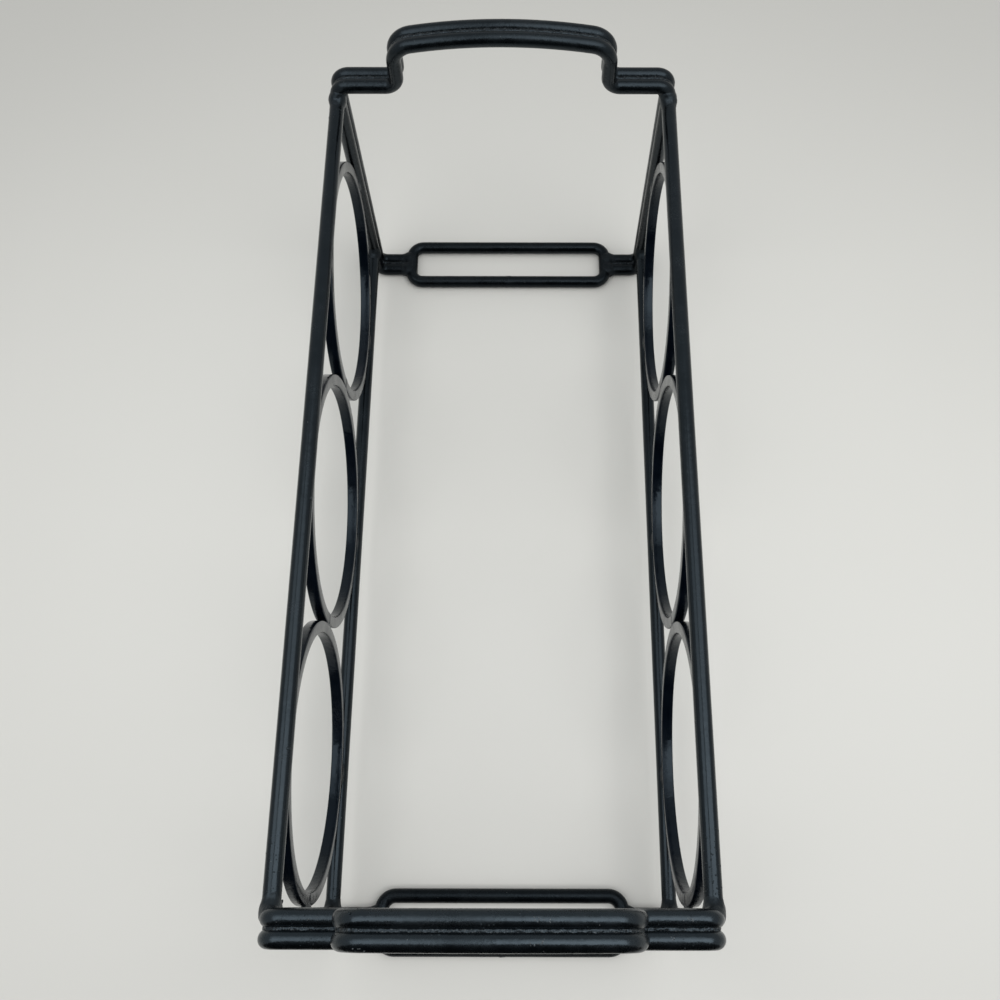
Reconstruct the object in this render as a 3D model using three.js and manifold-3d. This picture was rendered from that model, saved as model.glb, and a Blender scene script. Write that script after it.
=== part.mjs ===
// Tabletop wine rack of welded round steel rod with a satin black coat. Each end is a pair of equal
// rods bent side by side into two posts, two shoulders and an arched carrying grip. Four straight rails
// join the ends, square-bar rings between the rails hold the bottles, and a flat rod loop under each end
// is the foot. Millimetres, +Z up, +Y along the rack from the near end to the far end, +X to the right.
// The origin is on the floor under the middle of the rack.

import * as THREE from 'three';
import { mergeVertices } from 'three/addons/utils/BufferGeometryUtils.js';
import Module from 'manifold-3d';

// Rods and rings
const rodDiameter = 6.35;
const ringsPerSide = 3;
const ringOuterDiameter = 110.8;
const ringBarSide = 4.76;

// How far the rings stand out of the plane of the rails, away from the middle of the rack
const ringSetOut = 1;

// Places of the rails, all between centrelines or from the floor to a centreline
const railSpacing = 146.6;
const bottomRailHeight = 21.1;

// End frames, all at the rods' centrelines
const shoulderRise = 6.4;
const shoulderLength = 27.2;
const gripRise = 26.9;
const gripArchRadius = 215;
const bendRadius = 5.5;
const gripBendRadius = 9.5;
const footStubLength = 15.6;

// Foot loops, at the rod's centreline
const loopWidth = 22.4;
const loopBendRadius = 6.3;

// Clearances: between pieces that a weld joins, and between the two rods of a pair
const jointGap = 0.25;
const pairGap = 0.05;

// Weld beads: fillets along the rings, caps where two rings touch, collars round the rail ends and
// the beads across the foot stubs
const filletLength = 10;
const filletReach = 1;
const ringCapHeight = 0.6;
const ringCapWidth = 4.4;
const collarReach = 0.7;
const collarLength = 2.2;
const footBeadHeight = 0.9;
const footBeadReach = 2.2;
const footBeadOverlap = 0.2;

// Facets of the round shapes. Twelve sides give every rod flats that face along the axes. Where two cuts
// of a weld bead meet in one line, facets smaller than the finest one are closed up.
const rodSides = 12;
const bendSteps = 4;
const archSteps = 8;
const ringSegments = 48;
const beadSegments = 10;
const beadRings = 6;
const finestFacet = 0.001;

// Coat colours
const rodCoat = { color: 0x161c22, roughness: 0.42, metalness: 0.1 };
const ringCoat = { color: 0x1a2026, roughness: 0.4, metalness: 0.1 };
const weldCoat = { color: 0x14191e, roughness: 0.55, metalness: 0.1 };

// Places that follow from the driving dimensions
const rodRadius = rodDiameter / 2;
const ringRadius = ringOuterDiameter / 2;
const ringPitch = ringOuterDiameter + jointGap;
const ringHeight = bottomRailHeight + rodRadius + jointGap + ringRadius;
const topRailHeight = ringHeight + ringRadius + jointGap + rodRadius;
const shoulderHeight = topRailHeight + shoulderRise;
const sidePlane = railSpacing / 2;
const ringPlane = sidePlane + ringSetOut;
const innerFace = (ringsPerSide * ringPitch + jointGap) / 2;
const railLength = 2 * (innerFace - jointGap);
const innerRodPlace = innerFace + rodRadius;
const outerRodPlace = innerRodPlace + rodDiameter + pairGap;
const loopPlace = (innerRodPlace + outerRodPlace) / 2;
const stubEnd = sidePlane - footStubLength;
const loopHalfLength = stubEnd - jointGap - rodRadius;
const stepPlane = sidePlane - shoulderLength;

const wasm = await Module();
wasm.setup();

const rack = new THREE.Group();

// A rod's centreline in its own XY plane, drawn by straight runs and bends from a first point and
// heading. Each station keeps its exact tangent, so the section stays square to the rod.
class RodPath extends THREE.Curve {
  constructor(x, y, heading, legs) {
    super();
    this.place = new THREE.Vector3(x, y, 0);
    this.heading = heading;
    this.points = [];
    this.tangents = [];
    this.mark();
    for (const leg of legs) {
      if (leg.radius) {
        this.bend(leg);
      } else {
        this.run(leg.length);
      }
    }
  }

  direction() {
    return new THREE.Vector3(Math.cos(this.heading), Math.sin(this.heading), 0);
  }

  leftward() {
    return new THREE.Vector3(-Math.sin(this.heading), Math.cos(this.heading), 0);
  }

  mark() {
    this.points.push(this.place.clone());
    this.tangents.push(this.direction());
  }

  run(length) {
    this.place.addScaledVector(this.direction(), length);
    this.mark();
  }

  bend({ radius, turn, steps }) {
    const reach = radius * Math.sign(turn);
    const centre = this.place.clone().addScaledVector(this.leftward(), reach);
    for (let step = 0; step < steps; step += 1) {
      this.heading += turn / steps;
      this.place.copy(centre).addScaledVector(this.leftward(), -reach);
      this.mark();
    }
  }

  getUtoTmapping(share) {
    return share;
  }

  getPoint(share, target = new THREE.Vector3()) {
    return target.copy(this.points[Math.round(share * (this.points.length - 1))]);
  }

  getTangent(share, target = new THREE.Vector3()) {
    return target.copy(this.tangents[Math.round(share * (this.tangents.length - 1))]);
  }
}

function straight(length) {
  return { length };
}

function bend(radius, turn, steps = bendSteps) {
  return { radius, turn, steps };
}

// Round rod along a path. Grown by a clearance it is the space that a weld bead leaves free.
function rodGeometry(path, grow = 0) {
  const corner = (rodRadius + grow) / Math.cos(Math.PI / rodSides);
  const outline = [];
  for (let side = 0; side < rodSides; side += 1) {
    const angle = ((side + 0.5) / rodSides) * 2 * Math.PI;
    outline.push(new THREE.Vector2(corner * Math.cos(angle), corner * Math.sin(angle)));
  }
  return new THREE.ExtrudeGeometry(new THREE.Shape(outline), {
    steps: path.points.length - 1,
    extrudePath: path,
    bevelEnabled: false,
  });
}

function solidFrom(geometry) {
  const bare = geometry.clone();
  bare.deleteAttribute('normal');
  bare.deleteAttribute('uv');
  const merged = mergeVertices(bare);
  return new wasm.Manifold(new wasm.Mesh({
    numProp: 3,
    vertProperties: Float32Array.from(merged.attributes.position.array),
    triVerts: Uint32Array.from(merged.index.array),
  }));
}

function geometryFrom(solid) {
  const { vertProperties, triVerts } = solid.getMesh();
  const geometry = new THREE.BufferGeometry();
  geometry.setAttribute('position', new THREE.BufferAttribute(vertProperties, 3));
  geometry.setIndex(new THREE.BufferAttribute(triVerts, 1));
  geometry.computeVertexNormals();
  return geometry;
}

// Adds a piece and returns the solid that the welds around it are cut by. The shape takes a growth,
// and the place sets the mesh's position and rotation.
function addPiece(name, coat, shape, place) {
  const mesh = new THREE.Mesh(shape(0), new THREE.MeshStandardMaterial(coat));
  mesh.name = name;
  place(mesh);
  mesh.updateMatrix();
  rack.add(mesh);
  return solidFrom(shape(jointGap).applyMatrix4(mesh.matrix));
}

const sides = [{ name: 'left', sign: -1 }, { name: 'right', sign: 1 }];
const ends = [{ name: 'near', sign: -1 }, { name: 'far', sign: 1 }];

// End frames: a stub on the floor, the bend up into the post, the shoulder, the step up and the arched
// grip, then the same again in reverse. The grip's corner bend runs tangent into the arch.
const quarter = Math.PI / 2;
const archTurn = Math.asin((stepPlane - gripBendRadius) / (gripArchRadius - gripBendRadius));
const archDrop = (gripArchRadius - gripBendRadius) * (1 - Math.cos(archTurn)) + gripBendRadius;

function endFrameGeometry(grow) {
  const halfFrame = [
    straight(footStubLength - bendRadius + grow),
    bend(bendRadius, -quarter),
    straight(shoulderHeight - rodRadius - 2 * bendRadius),
    bend(bendRadius, -quarter),
    straight(shoulderLength - 2 * bendRadius),
    bend(bendRadius, quarter),
    straight(gripRise - bendRadius - archDrop),
    bend(gripBendRadius, archTurn - quarter),
  ];
  const arch = bend(gripArchRadius, -2 * archTurn, archSteps);
  const legs = [...halfFrame, arch, ...halfFrame.toReversed()];
  return rodGeometry(new RodPath(grow - stubEnd, rodRadius, Math.PI, legs), grow);
}

const innerRods = {};
const outerRods = {};
for (const end of ends) {
  innerRods[end.name] = addPiece(`${end.name}_inner_end_rod`, rodCoat, endFrameGeometry, (mesh) => {
    mesh.rotation.x = quarter;
    mesh.position.y = end.sign * innerRodPlace;
  });
  outerRods[end.name] = addPiece(`${end.name}_outer_end_rod`, rodCoat, endFrameGeometry, (mesh) => {
    mesh.rotation.x = quarter;
    mesh.position.y = end.sign * outerRodPlace;
  });
}

// Foot loops: one rod bent round into a long closed loop. Two halves run into each other on the bars.
function loopHalfGeometry(grow) {
  const legs = [
    straight(loopHalfLength - loopBendRadius + rodRadius),
    bend(loopBendRadius, quarter),
    straight(loopWidth - 2 * loopBendRadius),
    bend(loopBendRadius, quarter),
    straight(loopHalfLength - loopBendRadius + rodRadius),
  ];
  return rodGeometry(new RodPath(-rodRadius, -loopWidth / 2, 0, legs), grow);
}

function footLoopGeometry(grow) {
  const rightHalf = solidFrom(loopHalfGeometry(grow));
  const leftHalf = solidFrom(loopHalfGeometry(grow).rotateZ(Math.PI));
  return geometryFrom(rightHalf.add(leftHalf));
}

const footLoops = {};
for (const end of ends) {
  footLoops[end.name] = addPiece(`${end.name}_foot_loop`, rodCoat, footLoopGeometry, (mesh) => {
    mesh.position.set(0, end.sign * loopPlace, rodRadius);
  });
}

// Rails: straight rods whose ends butt on the inner end rods.
function railGeometry(grow) {
  const path = new RodPath(0, -railLength / 2, quarter, [straight(railLength)]);
  return rodGeometry(path, grow);
}

const railHeights = { top: topRailHeight, bottom: bottomRailHeight };
const rails = {};
for (const side of sides) {
  for (const [level, height] of Object.entries(railHeights)) {
    const name = `${side.name}_${level}_rail`;
    rails[name] = addPiece(name, rodCoat, railGeometry, (mesh) => {
      mesh.position.set(side.sign * sidePlane, 0, height);
    });
  }
}

// Rings: square bar rolled into hoops, one beside the next between the rails, numbered from the near end.
function ringGeometry(grow) {
  const inside = ringRadius - ringBarSide - grow;
  const outside = ringRadius + grow;
  const half = ringBarSide / 2 + grow;
  const profile = [
    new THREE.Vector2(inside, -half),
    new THREE.Vector2(outside, -half),
    new THREE.Vector2(outside, half),
    new THREE.Vector2(inside, half),
    new THREE.Vector2(inside, -half),
  ];
  return new THREE.LatheGeometry(profile, ringSegments);
}

function ringPlace(index) {
  return (index - (ringsPerSide - 1) / 2) * ringPitch;
}

const rings = {};
for (const side of sides) {
  for (let index = 0; index < ringsPerSide; index += 1) {
    const name = `${side.name}_ring_${index + 1}`;
    rings[name] = addPiece(name, ringCoat, ringGeometry, (mesh) => {
      mesh.rotation.z = quarter;
      mesh.position.set(side.sign * ringPlane, ringPlace(index), ringHeight);
    });
  }
}

// A weld bead: a rounded lump over the joint, cut away where the joined pieces and their clearance are.
function addWeld(name, centre, reach, neighbours) {
  const lump = new THREE.SphereGeometry(1, beadSegments, beadRings);
  lump.scale(...reach);
  lump.translate(...centre);
  let bead = solidFrom(lump);
  for (const neighbour of neighbours) {
    bead = bead.subtract(neighbour);
  }
  bead = bead.simplify(finestFacet);
  const mesh = new THREE.Mesh(geometryFrom(bead), new THREE.MeshStandardMaterial(weldCoat));
  mesh.name = name;
  rack.add(mesh);
}

// Ring welds, on the face of each ring that looks into the rack: fillets to both rails and to the end
// posts, and a flat cap across the touching point of two rings.
for (const side of sides) {
  const beadPlane = side.sign * (ringPlane - ringBarSide / 2);
  const ringsOf = (index) => rings[`${side.name}_ring_${index + 1}`];
  for (let index = 0; index < ringsPerSide; index += 1) {
    const alongRail = [filletReach, filletLength / 2, filletReach];
    for (const level of ['top', 'bottom']) {
      const touch = ringHeight + (level === 'top' ? ringRadius : -ringRadius);
      const neighbours = [ringsOf(index), rails[`${side.name}_${level}_rail`]];
      const name = `${side.name}_ring_${index + 1}_${level}_weld`;
      addWeld(name, [beadPlane, ringPlace(index), touch], alongRail, neighbours);
    }
  }
  for (const end of ends) {
    const upPost = [filletReach, filletReach, filletLength / 2];
    const endRing = ringsOf(end.sign > 0 ? ringsPerSide - 1 : 0);
    const touch = end.sign * (innerFace - jointGap);
    const name = `${side.name}_ring_${end.name}_post_weld`;
    addWeld(name, [beadPlane, touch, ringHeight], upPost, [endRing, innerRods[end.name]]);
  }
  const cap = [ringCapHeight, ringCapWidth / 2, filletLength / 2];
  const slab = new THREE.BoxGeometry(ringBarSide + 2 * jointGap, 2 * innerFace, topRailHeight);
  const bars = solidFrom(slab.translate(side.sign * ringPlane, 0, ringHeight));
  for (let index = 1; index < ringsPerSide; index += 1) {
    const touch = ringPlace(index) - ringPitch / 2;
    const name = `${side.name}_rings_${index}_${index + 1}_weld`;
    addWeld(name, [beadPlane, touch, ringHeight], cap, [bars]);
  }
}

// Rail welds: a collar round each end of each rail, against the inner end rod.
for (const side of sides) {
  for (const [level, height] of Object.entries(railHeights)) {
    for (const end of ends) {
      const centre = [side.sign * sidePlane, (end.sign * railLength) / 2, height];
      const collar = [rodRadius + collarReach, collarLength, rodRadius + collarReach];
      const neighbours = [rails[`${side.name}_${level}_rail`], innerRods[end.name]];
      addWeld(`${side.name}_${level}_rail_${end.name}_weld`, centre, collar, neighbours);
    }
  }
}

// Foot welds: one bead over both stubs of a pair where they butt on the end bar of the foot loop.
for (const side of sides) {
  for (const end of ends) {
    const centre = [side.sign * (stubEnd - jointGap / 2), end.sign * loopPlace, rodDiameter];
    const reach = [footBeadReach, rodDiameter + footBeadOverlap, footBeadHeight];
    const neighbours = [innerRods[end.name], outerRods[end.name], footLoops[end.name]];
    addWeld(`${end.name}_${side.name}_foot_weld`, centre, reach, neighbours);
  }
}

export default rack;
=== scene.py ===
import math

import bmesh
import bpy
from mathutils import Matrix, Vector, noise


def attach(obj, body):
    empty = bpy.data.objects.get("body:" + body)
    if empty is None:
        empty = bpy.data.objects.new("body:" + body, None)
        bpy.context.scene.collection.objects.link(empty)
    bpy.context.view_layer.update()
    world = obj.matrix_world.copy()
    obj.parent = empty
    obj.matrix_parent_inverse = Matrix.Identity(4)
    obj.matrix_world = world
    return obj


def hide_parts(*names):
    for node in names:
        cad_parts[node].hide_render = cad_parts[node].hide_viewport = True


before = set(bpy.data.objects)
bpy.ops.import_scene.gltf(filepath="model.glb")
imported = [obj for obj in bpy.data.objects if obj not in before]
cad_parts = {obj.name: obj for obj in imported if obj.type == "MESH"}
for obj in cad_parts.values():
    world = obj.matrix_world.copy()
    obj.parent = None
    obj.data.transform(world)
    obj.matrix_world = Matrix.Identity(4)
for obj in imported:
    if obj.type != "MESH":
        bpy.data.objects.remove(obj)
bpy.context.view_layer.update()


# Camera: held above the near end of the rack at arm's length and tipped a little towards the far end,
# so that the near grip fills the width of the picture and the rack narrows away from it.
MM = 0.001
camera_place = Vector((11.77, -165.95, 511.07)) * MM
camera_tip = 0.36092
camera_turn = 0.00331
camera_roll = -0.00126
camera_lens = bpy.data.cameras.new("photo_lens")
camera_lens.sensor_width = 36
camera_lens.lens = 37.865
camera_lens.shift_x = -0.0275
camera_lens.shift_y = 0.00853
camera_lens.clip_start = 10 * MM
camera = bpy.data.objects.new("photo_camera", camera_lens)
camera.matrix_world = (
    Matrix.Translation(camera_place)
    @ Matrix.Rotation(camera_turn, 4, "Z")
    @ Matrix.Rotation(camera_tip, 4, "X")
    @ Matrix.Rotation(camera_roll, 4, "Z")
)
bpy.context.scene.collection.objects.link(camera)
bpy.context.scene.camera = camera
bpy.context.scene.view_settings.view_transform = "Standard"


# Table: a pale melamine top, wider than the picture, that the rack stands on. Its shade is a little
# cloudy, and darkens in a wide oval away from the rack: painted shade for the light that falls off there.
class Wire:
    """A value that runs through the nodes of a finish. Sums of wires add the Math nodes they need."""

    def __init__(self, tree, socket=None):
        self.tree = tree
        self.socket = socket

    def node(self, kind, settings=None, sockets=None, out=0):
        made = self.tree.nodes.new(kind)
        for name, value in (settings or {}).items():
            setattr(made, name, value)
        for name, value in (sockets or {}).items():
            if isinstance(value, Wire):
                self.tree.links.new(value.socket, made.inputs[name])
            else:
                made.inputs[name].default_value = value
        return Wire(self.tree, made.outputs[out] if made.outputs else None)

    def sum(self, operation, first, second):
        return self.node("ShaderNodeMath", {"operation": operation}, {0: first, 1: second})

    def __add__(self, other):
        return self.sum("ADD", self, other)

    __radd__ = __add__

    def __sub__(self, other):
        return self.sum("SUBTRACT", self, other)

    def __rsub__(self, other):
        return self.sum("SUBTRACT", other, self)

    def __mul__(self, other):
        return self.sum("MULTIPLY", self, other)

    __rmul__ = __mul__

    def between(self, low, high):
        limits = {"Value": self, "From Min": low, "From Max": high}
        return self.node("ShaderNodeMapRange", {"interpolation_type": "SMOOTHSTEP"}, limits)

    def tint(self, first, second):
        shades = {0: self, 6: first, 7: second}
        return self.node("ShaderNodeMix", {"data_type": "RGBA"}, shades, out=2)


def new_finish(name):
    finish = bpy.data.materials.new(name)
    finish.use_nodes = True
    finish.node_tree.nodes.clear()
    return finish, Wire(finish.node_tree)


TABLE_HALF = 12.0
TABLE_DROP = 0.05 * MM
CLOUD_DARK = (0.690, 0.674, 0.630, 1)
CLOUD_PALE = (0.720, 0.704, 0.662, 1)
PAINTED_FALLOFF_SHADE = (0.545, 0.530, 0.495, 1)
OVAL_MIDDLE = (0, -0.065, 0)
OVAL_SHAPE = (1, 1.3, 1)
OVAL_START = 0.10
OVAL_END = 0.55
table_finish, wire = new_finish("table_melamine")
spot = wire.node("ShaderNodeTexCoord", out="Object")
cloud = wire.node("ShaderNodeTexNoise", {}, {"Vector": spot, "Scale": 6.0, "Detail": 2.0})
oval = wire.node("ShaderNodeMapping", {}, {"Vector": spot, "Location": OVAL_MIDDLE, "Scale": OVAL_SHAPE})
painted_falloff_distance = wire.node("ShaderNodeVectorMath", {"operation": "LENGTH"}, {0: oval}, out="Value")
pale_shade = cloud.tint(CLOUD_DARK, CLOUD_PALE)
# Painted shade: the top is darkened away from the rack, where the light falls off.
table_colour_with_painted_falloff = painted_falloff_distance.between(OVAL_START, OVAL_END).tint(pale_shade, PAINTED_FALLOFF_SHADE)
table_skin = wire.node("ShaderNodeBsdfPrincipled", {}, {"Base Color": table_colour_with_painted_falloff, "Roughness": 0.42})
wire.node("ShaderNodeOutputMaterial", {}, {"Surface": table_skin})
bm = bmesh.new()
bmesh.ops.create_grid(bm, x_segments=1, y_segments=1, size=TABLE_HALF)
bmesh.ops.translate(bm, verts=bm.verts, vec=(0, 0, -TABLE_DROP))
table_mesh = bpy.data.meshes.new("table")
bm.to_mesh(table_mesh)
bm.free()
table_mesh.materials.append(table_finish)
table = bpy.data.objects.new("table", table_mesh)
bpy.context.scene.collection.objects.link(table)


# Black cards: two upright sheets of black card behind the near end, for the rods to mirror so that
# their near sides go dark. They are seen only in reflections.
RIGHT_ANGLE = math.pi / 2
CARD_DARK = (0.004, 0.004, 0.004, 1)
CARD_PALE = (0.008, 0.008, 0.008, 1)
card_finish, wire = new_finish("black_card")
spot = wire.node("ShaderNodeTexCoord", out="Object")
cloud = wire.node("ShaderNodeTexNoise", {}, {"Vector": spot, "Scale": 40.0, "Detail": 2.0})
card_shade = cloud.tint(CARD_DARK, CARD_PALE)
card_skin = wire.node("ShaderNodeBsdfPrincipled", {}, {"Base Color": card_shade, "Roughness": 0.9})
wire.node("ShaderNodeOutputMaterial", {}, {"Surface": card_skin})
for card_name, card_half, card_place in (
        ("low_black_card", (0.28, 0.28), (0, -0.32, 0.285)),
        ("tall_black_card", (0.20, 0.36), (0, -0.45, 0.89))):
    bm = bmesh.new()
    stand = Matrix.Translation(card_place) @ Matrix.Rotation(RIGHT_ANGLE, 4, "X")
    stand = stand @ Matrix.Diagonal((*card_half, 1, 1))
    bmesh.ops.create_grid(bm, x_segments=1, y_segments=1, size=1, matrix=stand)
    card_mesh = bpy.data.meshes.new(card_name)
    bm.to_mesh(card_mesh)
    bm.free()
    card_mesh.materials.append(card_finish)
    card = bpy.data.objects.new(card_name, card_mesh)
    card.visible_camera = False
    card.visible_diffuse = False
    card.visible_shadow = False
    bpy.context.scene.collection.objects.link(card)


# Lights: two wide soft boxes overhead, two weaker ones beyond them towards the far end, and the even
# light of a pale room from all around.
BOX_COLOUR = (0.98, 0.99, 1.0)
ROOM_COLOUR = (0.94, 0.98, 1.0, 1)
ROOM_STRENGTH = 0.5
for box_name, box_place, box_size, box_power in (
        ("left_soft_box", (-0.855, -0.425, 1.35), (1.19, 1.05), 6.7),
        ("right_soft_box", (0.75, -0.425, 1.35), (1.60, 1.05), 11.9),
        ("far_left_soft_box", (-0.855, 0.325, 1.35), (1.19, 0.45), 1.6),
        ("far_right_soft_box", (0.75, 0.325, 1.35), (1.60, 0.45), 2.7)):
    box_light = bpy.data.lights.new(box_name, "AREA")
    box_light.shape = "RECTANGLE"
    box_light.size, box_light.size_y = box_size
    box_light.energy = box_power
    box_light.color = BOX_COLOUR
    soft_box = bpy.data.objects.new(box_name, box_light)
    soft_box.location = box_place
    bpy.context.scene.collection.objects.link(soft_box)
room = bpy.data.worlds.new("room")
room.use_nodes = True
room.node_tree.nodes["Background"].inputs["Color"].default_value = ROOM_COLOUR
room.node_tree.nodes["Background"].inputs["Strength"].default_value = ROOM_STRENGTH
bpy.context.scene.world = room


# Foot loops: round steel rod bent into a long closed loop that lies flat under each end of the rack.
# The rod's two ends meet in the middle of one bar, where they are butt welded and ground back.
ROD_RADIUS = 3.175 * MM
ROD_SIDES = 32
RUN_STEP = 12 * MM
BEND_STEPS = 12
SAME_PLACE = 0.01 * MM
SHARP_ANGLE = math.radians(50)
ENDS = (("near", -1), ("far", 1))


class Bender:
    """Draws a bent rod as a bender makes it: a section pushed along runs and round bends in a plane."""

    def __init__(self, start, heading, axis, step):
        self.bm = bmesh.new()
        self.place = Vector(start)
        self.heading = Vector(heading)
        self.axis = Vector(axis)
        self.step = step
        self.edges = []

    def inward(self):
        return self.axis.cross(self.heading)

    def section(self, radius, sides, capped=True, offset=0.0, flat=1.0):
        turn = Matrix((self.inward(), self.axis, self.heading)).transposed().to_4x4()
        place = Matrix.Translation(self.place + self.inward() * offset) @ turn
        place = place @ Matrix.Diagonal((flat, 1, 1, 1))
        bmesh.ops.create_circle(self.bm, cap_ends=capped, radius=radius, segments=sides, matrix=place)
        self.edges = self.bm.edges[:]

    def run(self, length, step=None):
        count = max(1, round(length / (step or self.step)))
        for _ in range(count):
            made = bmesh.ops.extrude_edge_only(self.bm, edges=self.edges)["geom"]
            verts = {part for part in made if isinstance(part, bmesh.types.BMVert)}
            shift = self.heading * (length / count)
            bmesh.ops.translate(self.bm, verts=list(verts), vec=shift)
            edges = [part for part in made if isinstance(part, bmesh.types.BMEdge)]
            self.edges = [edge for edge in edges if verts.issuperset(edge.verts)]
        self.place = self.place + self.heading * length

    def bend(self, radius, turn, steps):
        centre = self.place + self.inward() * math.copysign(radius, turn)
        spun = bmesh.ops.spin(
            self.bm, geom=self.edges, cent=centre, axis=self.axis, dvec=(0, 0, 0), angle=turn,
            space=Matrix(), steps=steps, use_merge=False, use_normal_flip=False, use_duplicate=False)
        self.edges = [part for part in spun["geom_last"] if isinstance(part, bmesh.types.BMEdge)]
        swing = Matrix.Rotation(turn, 3, self.axis)
        self.place = centre + swing @ (self.place - centre)
        self.heading = swing @ self.heading

    def follow(self, legs):
        for size, turn, steps in legs:
            if turn:
                self.bend(size, turn, steps)
            else:
                self.run(size)

    def cap(self):
        bmesh.ops.contextual_create(self.bm, geom=self.edges)


def piece_from(bm, name, finish):
    """Makes a drawn shape a smooth closed piece with its place in its mesh."""
    bmesh.ops.recalc_face_normals(bm, faces=bm.faces)
    for face in bm.faces:
        face.smooth = True
    mesh = bpy.data.meshes.new(name)
    bm.to_mesh(mesh)
    bm.free()
    mesh.set_sharp_from_angle(angle=SHARP_ANGLE)
    mesh.materials.append(finish)
    piece = bpy.data.objects.new(name, mesh)
    bpy.context.scene.collection.objects.link(piece)
    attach(piece, "root")
    return piece


ROD_DEEP = (0.0007, 0.0010, 0.0013, 1)
ROD_WORN = (0.0015, 0.0020, 0.0025, 1)
ROD_GLOSS = 0.22
ROD_PEEL = 0.045 * MM
# Mixed in for dust and for painted glints.
DUST_AND_GLINT_SHADE = (0.15, 0.155, 0.155, 1)
BLUE_GLEAM = (0.68, 0.86, 1.0, 1)
# Weaker reflection of the painted shade towards the table.
SHADED_LAYER_SHINE = 1.23
PEEL_WAVES = 600.0
GRAIN_WAVES = 2400.0
FILM_WAVES = 150.0
PATCH_WAVES = 40.0
SPECK_CELLS = 420.0


def powder_coat(name, deep, worn, gloss, peel_height, shine, pale=0.0, painted_low_shade=0.85):
    """Satin black powder coat: orange peel, wavy film, a little dust and pale specks. Towards the table
    a copy with a weaker reflection is mixed in as painted shade. It is rougher at the welded ends of the
    rack."""
    finish, wire = new_finish(name)
    spot = wire.node("ShaderNodeTexCoord", out="Object")

    def waves(per_metre, detail):
        return wire.node("ShaderNodeTexNoise", {}, {"Vector": spot, "Scale": per_metre, "Detail": detail})

    def along_axis(vector, axis):
        return wire.node("ShaderNodeSeparateXYZ", {}, {"Vector": vector}, out=axis)

    peel = waves(PEEL_WAVES, 2.0)
    grain = waves(GRAIN_WAVES, 1.0)
    film = waves(FILM_WAVES, 3.0)
    patch = waves(PATCH_WAVES, 3.0)
    cell = {"Vector": spot, "Scale": SPECK_CELLS}
    speck_gap = wire.node("ShaderNodeTexVoronoi", {}, cell, out="Distance")
    speck_pick = wire.node("ShaderNodeTexVoronoi", {}, cell, out="Color")
    picked = wire.node("ShaderNodeSeparateColor", {}, {"Color": speck_pick})

    from_middle = wire.node("ShaderNodeMath", {"operation": "ABSOLUTE"}, {0: along_axis(spot, "Y")})
    rough_end = from_middle.between(0.146, 0.166)
    # Painted shade: towards the table a copy of the coat with a weaker reflection is mixed in, for the
    # dimmer light there.
    painted_shade_share = (1 - along_axis(spot, "Z").between(-0.02, 0.14)) * painted_low_shade
    speck = (1 - speck_gap.between(0.03, 0.10)) * (picked + rough_end * 0.06).between(0.92, 0.95)
    facing = wire.node("ShaderNodeNewGeometry", out="Normal")
    upward = along_axis(facing, "Z").between(0.35, 1.0)
    dust = upward * patch.between(0.45, 0.75) * grain.between(0.4, 0.8)

    coat = film.between(0.3, 0.7).tint(deep, worn)
    # Pale grains: painted glints on the coats that ask for many (groove webs, low welds, specks on the
    # near rods), a little dust on the welds.
    dust_and_glint_share = dust * 0.10 + speck * 0.5 + pale * grain.between(0.5, 0.8)
    coat = dust_and_glint_share.tint(coat, DUST_AND_GLINT_SHADE)
    sheen = gloss + (patch - 0.5) * 0.20 + (film - 0.5) * 0.24 + (grain - 0.5) * 0.12 + rough_end * 0.05
    height = peel * (0.6 + rough_end * 0.9) + grain * 0.08 + film * 2.2 + speck * 0.3
    surface = wire.node("ShaderNodeBump", {}, {"Strength": 1.0, "Distance": peel_height, "Height": height})
    lit_layer = wire.node("ShaderNodeBsdfPrincipled", {}, {
        "Base Color": coat, "Roughness": sheen, "Normal": surface, "IOR": shine,
        "Specular Tint": BLUE_GLEAM})
    shaded_layer = wire.node("ShaderNodeBsdfPrincipled", {}, {
        "Base Color": coat, "Roughness": sheen + 0.02, "Normal": surface, "IOR": SHADED_LAYER_SHINE,
        "Specular Tint": BLUE_GLEAM})
    skin = wire.node("ShaderNodeMixShader", {}, {0: painted_shade_share, 1: lit_layer, 2: shaded_layer})
    wire.node("ShaderNodeOutputMaterial", {}, {"Surface": skin})
    return finish


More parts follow.
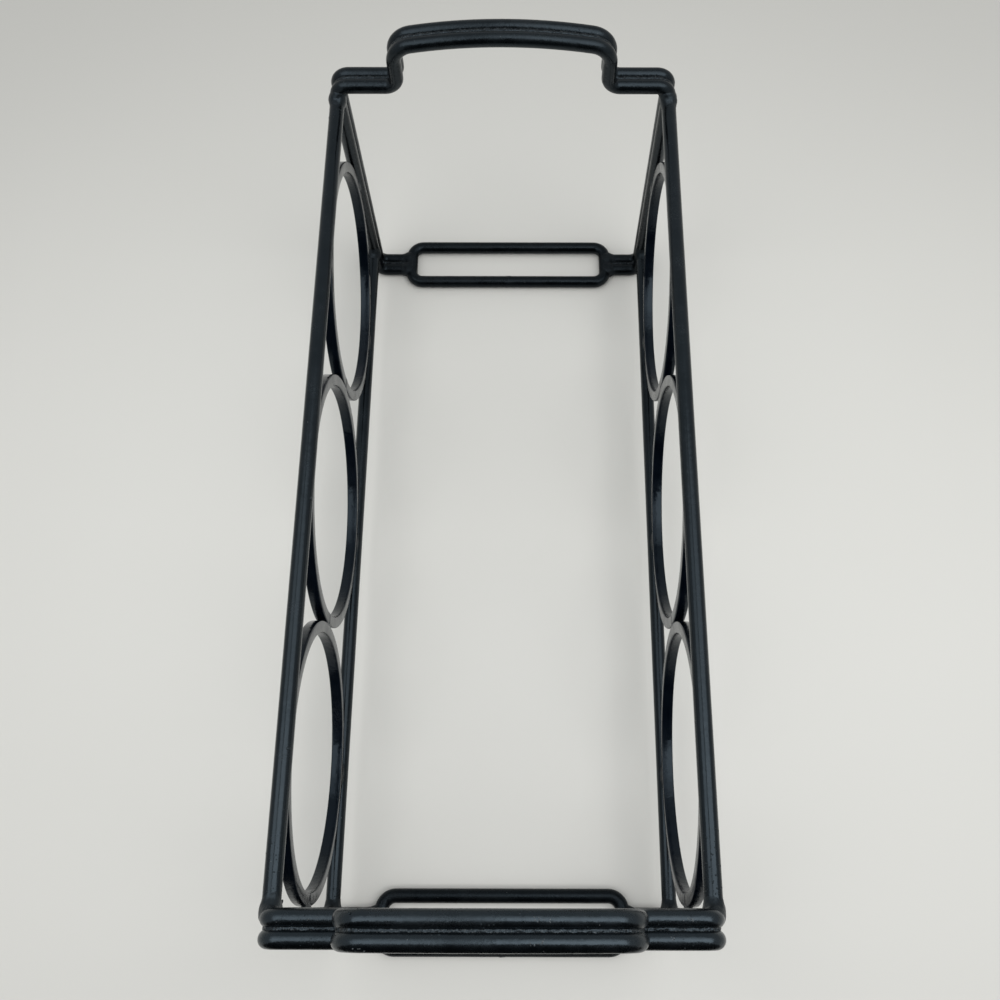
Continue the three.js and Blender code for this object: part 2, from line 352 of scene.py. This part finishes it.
LOOP_HALF = 54.275 * MM
LOOP_WIDTH = 22.4 * MM
LOOP_BEND = 6.3 * MM
LOOP_PLACE = 173.075 * MM
BUTT_LENGTH = 2.6 * MM
BUTT_STEP = 0.4 * MM
BUTT_RISE = 0.22 * MM
BUTT_WAVES = 700
UNDERSIDE = 0.6 * MM
loop_coat = powder_coat(
    "loop_powder_coat", ROD_DEEP, ROD_WORN, gloss=ROD_GLOSS, peel_height=ROD_PEEL, shine=1.50)
for end, sign in ENDS:
    loop = Bender((0, sign * LOOP_PLACE - LOOP_WIDTH / 2, ROD_RADIUS), (1, 0, 0), (0, 0, 1), RUN_STEP)
    loop.section(ROD_RADIUS, ROD_SIDES, capped=False)
    bar = LOOP_HALF - LOOP_BEND
    crossing = LOOP_WIDTH - 2 * LOOP_BEND
    loop.run(BUTT_LENGTH, BUTT_STEP)
    loop.run(bar - BUTT_LENGTH)
    for _ in range(2):
        loop.bend(LOOP_BEND, RIGHT_ANGLE, BEND_STEPS)
        loop.run(crossing)
        loop.bend(LOOP_BEND, RIGHT_ANGLE, BEND_STEPS)
        if loop.heading.x < 0:
            loop.run(2 * bar)
    loop.run(bar - BUTT_LENGTH)
    loop.run(BUTT_LENGTH, BUTT_STEP)
    bmesh.ops.remove_doubles(loop.bm, verts=loop.bm.verts, dist=SAME_PLACE)
    for vert in loop.bm.verts:
        away = abs(vert.co.x)
        bar_line = Vector((vert.co.x, sign * LOOP_PLACE - LOOP_WIDTH / 2, ROD_RADIUS))
        if away < BUTT_LENGTH and (vert.co - bar_line).length < 1.2 * ROD_RADIUS:
            swell = 0.5 + 0.5 * math.cos(math.pi * away / BUTT_LENGTH)
            lump = 0.5 + noise.noise(vert.co * BUTT_WAVES + Vector((0, 0, 5 * sign)))
            outward = (vert.co - bar_line).normalized()
            if vert.co.z > UNDERSIDE:
                vert.co += outward * BUTT_RISE * swell * lump
    piece = piece_from(loop.bm, f"{end}_foot_loop_rod", loop_coat)
    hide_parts(f"{end}_foot_loop")


# End rods: two equal steel rods side by side at each end. Each is bent from one length: a stub on the
# table, a post, a shoulder, a step up and an arched carrying grip, then the same down again.
FOOT_STUB = 15.6 * MM
BEND = 5.5 * MM
SHOULDER_HEIGHT = 145.15 * MM
SHOULDER = 27.2 * MM
GRIP_RISE = 26.9 * MM
GRIP_BEND = 9.5 * MM
GRIP_ARCH = 215 * MM
ARCH_STEPS = 30
SIDE_PLANE = 73.3 * MM
STEP_PLANE = SIDE_PLANE - SHOULDER
STUB_END = SIDE_PLANE - FOOT_STUB
ROD_PLACES = {"inner": 169.875 * MM, "outer": 176.275 * MM}
END_SHINES = (1.58, 1.42)
arch_turn = math.asin((STEP_PLANE - GRIP_BEND) / (GRIP_ARCH - GRIP_BEND))
arch_drop = (GRIP_ARCH - GRIP_BEND) * (1 - math.cos(arch_turn)) + GRIP_BEND
half_frame = [
    (FOOT_STUB - BEND, 0, 0),
    (BEND, -RIGHT_ANGLE, BEND_STEPS),
    (SHOULDER_HEIGHT - ROD_RADIUS - 2 * BEND, 0, 0),
    (BEND, -RIGHT_ANGLE, BEND_STEPS),
    (SHOULDER - 2 * BEND, 0, 0),
    (BEND, RIGHT_ANGLE, BEND_STEPS),
    (GRIP_RISE - BEND - arch_drop, 0, 0),
    (GRIP_BEND, arch_turn - RIGHT_ANGLE, BEND_STEPS),
]
end_frame = half_frame + [(GRIP_ARCH, -2 * arch_turn, ARCH_STEPS)] + half_frame[::-1]
for (end, sign), shine in zip(ENDS, END_SHINES):
    end_coat = powder_coat(
        f"{end}_rod_powder_coat", ROD_DEEP, ROD_WORN,
        gloss=ROD_GLOSS, peel_height=ROD_PEEL, shine=shine)
    for layer, place in ROD_PLACES.items():
        rod = Bender((-STUB_END, sign * place, ROD_RADIUS), (-1, 0, 0), (0, -1, 0), RUN_STEP)
        rod.section(ROD_RADIUS, ROD_SIDES)
        rod.follow(end_frame)
        rod.cap()
        piece = piece_from(rod.bm, f"{end}_{layer}_bent_rod", end_coat)
        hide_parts(f"{end}_{layer}_end_rod")


# Groove coat: where the two rods of a pair touch, the powder flows together and fills the bottom of
# the groove on both sides with a thin uneven web that catches the light as a fine line, speckled with
# painted glints.
GROOVE_SIDES = 12
GROOVE_STEP = 2.2 * MM
GROOVE_FLAT = 0.42
GROOVE_CUTS = 5
GROOVE_DEPTHS = (1.42 * MM, 1.70 * MM)
GROOVE_HALVES = (0.72 * MM, 0.90 * MM)
SLOW_WAVES = 60
SHORT_WAVES = 420
BEAD_WAVES = 1400
RIPPLE_MM = 0.30
# Painted glints: the web's coat has pale grains for the speckled light along the groove.
groove_glint_coat = powder_coat(
    "groove_powder_coat", (0.0014, 0.0018, 0.0024, 1), (0.0050, 0.0062, 0.0070, 1),
    gloss=0.26, peel_height=0.16 * MM, shine=1.46, pale=0.40)
for (end, sign), depth, half in zip(ENDS, GROOVE_DEPTHS, GROOVE_HALVES):
    for face, offset in (("outside", -depth), ("inside", depth)):
        start = (-STUB_END, sign * LOOP_PLACE, ROD_RADIUS)
        web = Bender(start, (-1, 0, 0), (0, -1, 0), GROOVE_STEP)
        web.section(half, GROOVE_SIDES, offset=offset, flat=GROOVE_FLAT)
        web.follow(end_frame)
        web.cap()
        web.bm.verts.index_update()
        lengthwise = [
            edge for edge in web.bm.edges
            if edge.verts[0].index // GROOVE_SIDES != edge.verts[1].index // GROOVE_SIDES]
        bmesh.ops.subdivide_edges(web.bm, edges=lengthwise, cuts=GROOVE_CUTS, use_grid_fill=True)
        web.bm.normal_update()
        for vert in web.bm.verts:
            ripple = 0.5 * noise.noise(vert.co * SLOW_WAVES) + 0.6 * noise.noise(vert.co * SHORT_WAVES)
            beads = noise.noise(vert.co * BEAD_WAVES) - 0.15
            vert.co += vert.normal * RIPPLE_MM * MM * (ripple + beads)
        piece = piece_from(web.bm, f"{end}_{face}_groove_glint_coat", groove_glint_coat)


# Rails: four straight rods, a top and a bottom one on each long side, cut square and butted on the
# inner end rods. The bottom ones run clear of the table.
RAIL_HALF = 166.45 * MM
RAIL_HEIGHTS = {"top": 138.75 * MM, "bottom": 21.1 * MM}
SIDES = (("left", -1), ("right", 1))
rail_coat = powder_coat(
    "rail_powder_coat", ROD_DEEP, ROD_WORN,
    gloss=ROD_GLOSS, peel_height=ROD_PEEL, shine=1.46, painted_low_shade=0.30)
for side, sign in SIDES:
    for level, height in RAIL_HEIGHTS.items():
        rail = Bender((sign * SIDE_PLANE, -RAIL_HALF, height), (0, 1, 0), (0, 0, 1), RUN_STEP)
        rail.section(ROD_RADIUS, ROD_SIDES)
        rail.run(2 * RAIL_HALF)
        rail.cap()
        piece = piece_from(rail.bm, f"{side}_{level}_rail_rod", rail_coat)
        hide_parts(f"{side}_{level}_rail")


# Rings: square steel bar with eased edges, rolled into a hoop for each bottle. The bar's ends meet at
# the near point, where a butt weld is ground back and leaves a shallow seam.
RING_RADIUS = 55.4 * MM
BAR_HALF = 2.38 * MM
BAR_EDGE = 0.55 * MM
RING_PLANE = 74.3 * MM
RING_PITCH = 111.05 * MM
RING_HEIGHT = 79.925 * MM
RING_LINE = RING_RADIUS - BAR_HALF
RING_NUMBERS = (1, 2, 3)
RING_STEPS = 140
SEAM_TURN = math.radians(5)
SEAM_STEPS = 20
SEAM_REACH = 4.5 * MM
PAD_HALF = 1.7 * MM
PAD_RISE = 0.16 * MM
PAD_WAVES = 520
CUT_HALF = 0.28 * MM
CUT_DEPTH = 0.34 * MM
ring_coat = powder_coat(
    "ring_powder_coat", (0.0008, 0.0018, 0.0038, 1), (0.0018, 0.0032, 0.0060, 1),
    gloss=0.19, peel_height=0.065 * MM, shine=1.36, painted_low_shade=0.15)
for side, sign in SIDES:
    for number in RING_NUMBERS:
        centre = Vector((sign * RING_PLANE, (number - 2) * RING_PITCH, RING_HEIGHT))
        bm = bmesh.new()
        bmesh.ops.create_grid(bm, x_segments=1, y_segments=1, size=BAR_HALF)
        bmesh.ops.bevel(
            bm, geom=bm.verts, offset=BAR_EDGE, segments=4, profile=0.5, affect="VERTICES", material=-1)
        bmesh.ops.delete(bm, geom=bm.faces, context="FACES_ONLY")
        bmesh.ops.translate(bm, verts=bm.verts, vec=centre - Vector((0, RING_LINE, 0)))
        edges = bm.edges[:]
        for turn, steps in (
                (SEAM_TURN, SEAM_STEPS),
                (2 * math.pi - 2 * SEAM_TURN, RING_STEPS),
                (SEAM_TURN, SEAM_STEPS)):
            spun = bmesh.ops.spin(
                bm, geom=edges, cent=centre, axis=(1, 0, 0), dvec=(0, 0, 0), angle=turn, space=Matrix(),
                steps=steps, use_merge=False, use_normal_flip=False, use_duplicate=False)
            edges = [part for part in spun["geom_last"] if isinstance(part, bmesh.types.BMEdge)]
        bmesh.ops.remove_doubles(bm, verts=bm.verts, dist=SAME_PLACE)
        for vert in bm.verts:
            arm = vert.co - centre
            if arm.y < 0 and abs(arm.z) < SEAM_REACH:
                core = centre + Vector((0, arm.y, arm.z)).normalized() * RING_LINE
                outward = (vert.co - core).normalized()
                lump = 0.7 + noise.noise(vert.co * PAD_WAVES + centre * 90)
                pad = math.exp(-(arm.z / PAD_HALF) ** 2) * PAD_RISE * lump
                cut = math.exp(-(arm.z / CUT_HALF) ** 2) * CUT_DEPTH
                vert.co += outward * (pad - cut)
        piece = piece_from(bm, f"{side}_ring_{number}_band", ring_coat)
        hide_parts(f"{side}_ring_{number}")


# Ring welds: short fillets that fill the crevice between each ring and both rails, the end posts and
# the next ring, on the side that looks into the rack. All are under the coat and rougher than it; the
# low ones get a pale coat, a painted highlight for the light they catch.
weld_coat = powder_coat(
    "weld_powder_coat", (0.0012, 0.0016, 0.0021, 1), (0.0060, 0.0072, 0.0080, 1),
    gloss=0.34, peel_height=0.09 * MM, shine=1.44, pale=0.05)
# Painted highlight: a pale coat for the low welds, for the light that catches them.
highlight_dab_coat = powder_coat(
    "painted_highlight_weld_coat", (0.0040, 0.0048, 0.0054, 1), (0.0200, 0.0225, 0.0235, 1),
    gloss=0.34, peel_height=0.12 * MM, shine=1.46, pale=0.45)


def rod_gap(start, heading, length):
    """Distance outside a straight round rod, as a function of place."""
    start, heading = Vector(start), Vector(heading)

    def gap(place):
        arm = place - start
        along = min(max(arm.dot(heading), 0.0), length)
        return (arm - heading * along).length - ROD_RADIUS
    return gap


def ring_gap(centre):
    """Distance outside a ring of square bar, as a function of place."""
    def gap(place):
        out = abs(math.hypot(place.y - centre.y, place.z - centre.z) - RING_LINE) - BAR_HALF + BAR_EDGE
        across = abs(place.x - centre.x) - BAR_HALF + BAR_EDGE
        return math.hypot(max(out, 0), max(across, 0)) + min(max(out, across), 0) - BAR_EDGE
    return gap


BALL_SEGMENTS = 52
BALL_RINGS = 36
MARCH_STEPS = 12
HALVINGS = 5
LONG_LUMPS = 420
SHORT_LUMPS = 1100
BEAD_PROUD = 0.16 * MM
EDGE_SINK = 0.34 * MM
OFF_TABLE = 0.05 * MM


def weld_bead(name, centre, reach, gaps, fill, rough, finish):
    """A bead of weld metal that fills the crevice between the pieces it joins and sinks into them at
    its edge. Each point of a ball is moved out along its own line to the skin of the blended metal."""
    centre = Vector(centre)

    def outside(place, share):
        joined = gaps[0](place)
        for gap in gaps[1:]:
            other = gap(place)
            blend = max(fill - abs(joined - other), 0) / fill
            joined = min(joined, other) - blend * blend * fill / 4
        skin = noise.noise(place * LONG_LUMPS) + 0.6 * noise.noise(place * SHORT_LUMPS)
        return joined - rough * skin - (BEAD_PROUD - EDGE_SINK * share)

    bm = bmesh.new()
    bmesh.ops.create_uvsphere(bm, u_segments=BALL_SEGMENTS, v_segments=BALL_RINGS, radius=1)
    for vert in bm.verts:
        line = Vector([side * size for side, size in zip(vert.co.normalized(), reach)])
        near, far = 1.0, 1.0
        for step in range(1, MARCH_STEPS + 1):
            share = step / MARCH_STEPS
            if outside(centre + line * share, share) > 0:
                near, far = (step - 1) / MARCH_STEPS, share
                break
        for _ in range(HALVINGS if near < 1 else 0):
            middle = (near + far) / 2
            if outside(centre + line * middle, middle) > 0:
                far = middle
            else:
                near = middle
        vert.co = centre + line * near
        vert.co.z = max(vert.co.z, OFF_TABLE)
    piece = piece_from(bm, f"{name}_bead", finish)
    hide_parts(name)


FILLET_HALF = 7.0 * MM
FILLET_REACH = 2.6 * MM
FILLET_INSET = 0.9 * MM
RING_PAIR_REACH = (3.4 * MM, 2.4 * MM, 8.0 * MM)
TOP_FILL = 0.9 * MM
BOTTOM_FILL = 1.7 * MM
POST_FILL = 1.6 * MM
RING_PAIR_FILL = 1.5 * MM
RAIL_FILLET_ROUGH = 0.08 * MM
SIDE_FILLET_ROUGH = 0.10 * MM
JOINT_GAP = 0.25 * MM
for side, sign in SIDES:
    bead_plane = sign * (RING_PLANE - BAR_HALF + FILLET_INSET)
    centres = [
        Vector((sign * RING_PLANE, (number - 2) * RING_PITCH, RING_HEIGHT)) for number in RING_NUMBERS]
    for number, centre in zip(RING_NUMBERS, centres):
        for level, step, fill, finish in (
                ("top", 1, TOP_FILL, weld_coat),
                ("bottom", -1, BOTTOM_FILL, highlight_dab_coat)):
            rail_start = (sign * SIDE_PLANE, -RAIL_HALF, RAIL_HEIGHTS[level])
            rail = rod_gap(rail_start, (0, 1, 0), 2 * RAIL_HALF)
            touch = (bead_plane, centre.y, RING_HEIGHT + step * (RING_RADIUS + JOINT_GAP / 2))
            reach = (FILLET_REACH, FILLET_HALF, FILLET_REACH)
            pair = (ring_gap(centre), rail)
            name = f"{side}_ring_{number}_{level}_weld"
            weld_bead(name, touch, reach, pair, fill, RAIL_FILLET_ROUGH, finish)
    for end, end_sign in ENDS:
        place = end_sign * ROD_PLACES["inner"]
        post = rod_gap((sign * SIDE_PLANE, place, 0), (0, 0, 1), SHOULDER_HEIGHT - BEND)
        touch = (bead_plane, end_sign * (RAIL_HALF + JOINT_GAP / 2), RING_HEIGHT)
        reach = (FILLET_REACH, FILLET_REACH, FILLET_HALF)
        pair = (ring_gap(centres[1 + end_sign]), post)
        name = f"{side}_ring_{end}_post_weld"
        weld_bead(name, touch, reach, pair, POST_FILL, SIDE_FILLET_ROUGH, highlight_dab_coat)
    for number in (1, 2):
        touch = (sign * RING_PLANE, (number - 1.5) * RING_PITCH, RING_HEIGHT)
        pair = (ring_gap(centres[number - 1]), ring_gap(centres[number]))
        name = f"{side}_rings_{number}_{number + 1}_weld"
        weld_bead(name, touch, RING_PAIR_REACH, pair, RING_PAIR_FILL, SIDE_FILLET_ROUGH, weld_coat)


# Rail welds: a full collar of weld metal round each end of each rail. It runs over the inner end rod,
# at the top rails also up onto the bend and the shoulder, and is dressed smooth before coating.
COLLAR_REACH = (7.0 * MM, 7.5 * MM, 6.0 * MM)
COLLAR_INSET = 0.8 * MM
COLLAR_FILL = 4.6 * MM
COLLAR_ROUGH = 0.14 * MM


def nearest(gaps):
    """Distance outside the nearest of several shapes, as a function of place."""
    return lambda place: min(gap(place) for gap in gaps)


bend_middle = BEND * math.sin(math.pi / 4)
for side, sign in SIDES:
    for level, height in RAIL_HEIGHTS.items():
        for end, end_sign in ENDS:
            place = end_sign * ROD_PLACES["inner"]
            corners = [Vector((sign * across, place, up)) for across, up in (
                (SIDE_PLANE, ROD_RADIUS + BEND),
                (SIDE_PLANE, SHOULDER_HEIGHT - BEND),
                (SIDE_PLANE - BEND + bend_middle, SHOULDER_HEIGHT - BEND + bend_middle),
                (SIDE_PLANE - BEND, SHOULDER_HEIGHT),
                (STEP_PLANE + BEND, SHOULDER_HEIGHT))]
            legs = [rod_gap(a, (b - a).normalized(), (b - a).length) for a, b in zip(corners, corners[1:])]
            frame_rod = legs if level == "top" else legs[:1]
            rail = rod_gap((sign * SIDE_PLANE, -RAIL_HALF, height), (0, 1, 0), 2 * RAIL_HALF)
            touch = (sign * SIDE_PLANE, end_sign * (RAIL_HALF - COLLAR_INSET), height)
            pair = (rail, nearest(frame_rod))
            name = f"{side}_{level}_rail_{end}_weld"
            weld_bead(name, touch, COLLAR_REACH, pair, COLLAR_FILL, COLLAR_ROUGH, weld_coat)


# Foot welds: one broad bead over both stubs of a pair where they butt on the end bar of the foot loop,
# run out on both sides into the corners of the loop.
FOOT_REACH = (7.0 * MM, 11.0 * MM, 4.6 * MM)
FOOT_INSET = 0.125 * MM
FOOT_FILL = 4.0 * MM
FOOT_ROUGH = 0.16 * MM
for side, sign in SIDES:
    for end, end_sign in ENDS:
        stubs = []
        for place in ROD_PLACES.values():
            stub_start = (sign * STUB_END, end_sign * place, ROD_RADIUS)
            stubs.append(rod_gap(stub_start, (sign, 0, 0), FOOT_STUB - BEND))
        bar_start = (sign * LOOP_HALF, end_sign * LOOP_PLACE - LOOP_WIDTH / 2 + LOOP_BEND, ROD_RADIUS)
        end_bar = rod_gap(bar_start, (0, 1, 0), LOOP_WIDTH - 2 * LOOP_BEND)
        touch = (sign * (STUB_END - FOOT_INSET), end_sign * LOOP_PLACE, ROD_RADIUS)
        pair = (nearest(stubs), end_bar)
        name = f"{end}_{side}_foot_weld"
        weld_bead(name, touch, FOOT_REACH, pair, FOOT_FILL, FOOT_ROUGH, weld_coat)


# Weld spatter: small drops of metal that landed on the rods beside the welds and were coated over. They
# lie on the ends of the rails, on the shoulders and along the groove of the grips.
DROP_FLAT = 0.45
DROP_LUMP = 0.12
DROP_WAVES = 2500
SMALLEST_DROP_MM = 0.12
RAIL_DROPS = (("top", 44), ("bottom", 20))
RAIL_LEAN = 1.2
RAIL_CLEAR = 4 * MM
RAIL_SCATTER = 22 * MM
SHOULDER_DROPS = 16
SHOULDER_LEAN = 1.1
GRIP_DROPS = 22
GRIP_SCATTER_MM = 38
GRIP_HALF_PAIR = 3.2 * MM
noise.seed_set(11)


def either_way(reach):
    return (noise.random() * 2 - 1) * reach


def spatter(bm, place, outward, size):
    """One flattened drop, half sunk in the rod it lies on."""
    turn = Vector((0, 0, 1)).rotation_difference(outward).to_matrix().to_4x4()
    spread = Matrix.Diagonal((size * (0.8 + 0.9 * noise.random()), size, size * DROP_FLAT, 1))
    spin = Matrix.Rotation(noise.random() * math.tau, 4, "Z")
    drop = bmesh.ops.create_uvsphere(
        bm, u_segments=10, v_segments=6, radius=1, matrix=Matrix.Translation(place) @ turn @ spin @ spread)
    for vert in drop["verts"]:
        vert.co += outward * DROP_LUMP * size * noise.noise(vert.co * DROP_WAVES)


bm = bmesh.new()
for side, sign in SIDES:
    for level, count in RAIL_DROPS:
        for _ in range(count):
            lean = either_way(RAIL_LEAN)
            outward = Vector((math.sin(lean), 0, math.cos(lean)))
            end_sign = -1 if noise.random() < 0.7 else 1
            along = end_sign * (RAIL_HALF - RAIL_CLEAR - RAIL_SCATTER * noise.random() ** 2)
            line = Vector((sign * SIDE_PLANE, along, RAIL_HEIGHTS[level]))
            size = (SMALLEST_DROP_MM + 0.2 * noise.random()) * MM
            spatter(bm, line + outward * ROD_RADIUS, outward, size)
    for end, end_sign in ENDS:
        for _ in range(SHOULDER_DROPS):
            lean = either_way(SHOULDER_LEAN)
            outward = Vector((0, math.sin(lean), math.cos(lean)))
            across = sign * (STEP_PLANE + BEND + (SHOULDER - 2 * BEND) * noise.random())
            layer = "inner" if noise.random() < 0.6 else "outer"
            line = Vector((across, end_sign * ROD_PLACES[layer], SHOULDER_HEIGHT))
            size = (SMALLEST_DROP_MM + 0.16 * noise.random()) * MM
            spatter(bm, line + outward * ROD_RADIUS, outward, size)
for end, end_sign in ENDS:
    for _ in range(GRIP_DROPS):
        across = either_way(GRIP_SCATTER_MM) * MM
        layer_sign = 1 if noise.random() < 0.5 else -1
        lean = -layer_sign * (0.3 + 0.7 * noise.random())
        outward = Vector((0, math.sin(lean), math.cos(lean)))
        rise = SHOULDER_HEIGHT + GRIP_RISE - GRIP_ARCH + math.sqrt(GRIP_ARCH ** 2 - across ** 2)
        place = end_sign * LOOP_PLACE + layer_sign * GRIP_HALF_PAIR
        line = Vector((across, place, rise))
        size = (SMALLEST_DROP_MM + 0.2 * noise.random()) * MM
        spatter(bm, line + outward * ROD_RADIUS, outward, size)
for place, outward, size in (
        ((-70.1, -164.9, 137.0), (1, -0.2, 0.1), 0.65),
        ((-70.6, -22.1, 140.4), (0.8, 0, 0.6), 0.5),
        ((-71.2, -115.3, 141.1), (0.6, 0, 0.8), 0.6),
        ((-42.4, -168.0, 170.2), (-0.3, 0.5, 0.8), 0.45)):
    spatter(bm, Vector(place) * MM, Vector(outward).normalized(), size * MM)
piece = piece_from(bm, "weld_spatter", weld_coat)


# Glint specks: small raised pale dots on the near grip and the near shoulders, painted glints for the
# light that catches the rods there, and a short pale streak on the near grip, a scratch in the coat.
SMALLEST_SPECK_MM = 0.10
SPECK_LEAN = 0.25
SPECK_SCATTER_MM = 2.6
GRIP_TOP = SHOULDER_HEIGHT + GRIP_RISE
# Painted glints: a pale coat for the dots, and the colour of the scratch.
glint_and_scratch_coat = powder_coat(
    "glint_and_scratch_powder_coat", (0.0300, 0.0330, 0.0350, 1), (0.1000, 0.1050, 0.1080, 1),
    gloss=0.30, peel_height=0.05 * MM, shine=1.50, pale=0.8)
bm = bmesh.new()
for across, layer, level, tilt, count in (
        (62.5, "inner", SHOULDER_HEIGHT, 0.0, 10),
        (57, "outer", SHOULDER_HEIGHT, 0.1, 4),
        (-57, "inner", SHOULDER_HEIGHT, 0.0, 4),
        (16, "inner", GRIP_TOP, 0.0, 9),
        (15, "outer", GRIP_TOP, 0.0, 8),
        (-38.5, "outer", GRIP_TOP, -0.7, 6)):
    for _ in range(count):
        lean = tilt + either_way(SPECK_LEAN)
        outward = Vector((0, math.sin(lean), math.cos(lean)))
        along = (across + either_way(SPECK_SCATTER_MM)) * MM
        drop = GRIP_ARCH - math.sqrt(GRIP_ARCH ** 2 - along ** 2) if level == GRIP_TOP else 0
        line = Vector((along, -ROD_PLACES[layer], level - drop))
        size = (SMALLEST_SPECK_MM + 0.16 * noise.random()) * MM
        spatter(bm, line + outward * ROD_RADIUS, outward, size)
piece = piece_from(bm, "glint_and_scratch_specks", glint_and_scratch_coat)
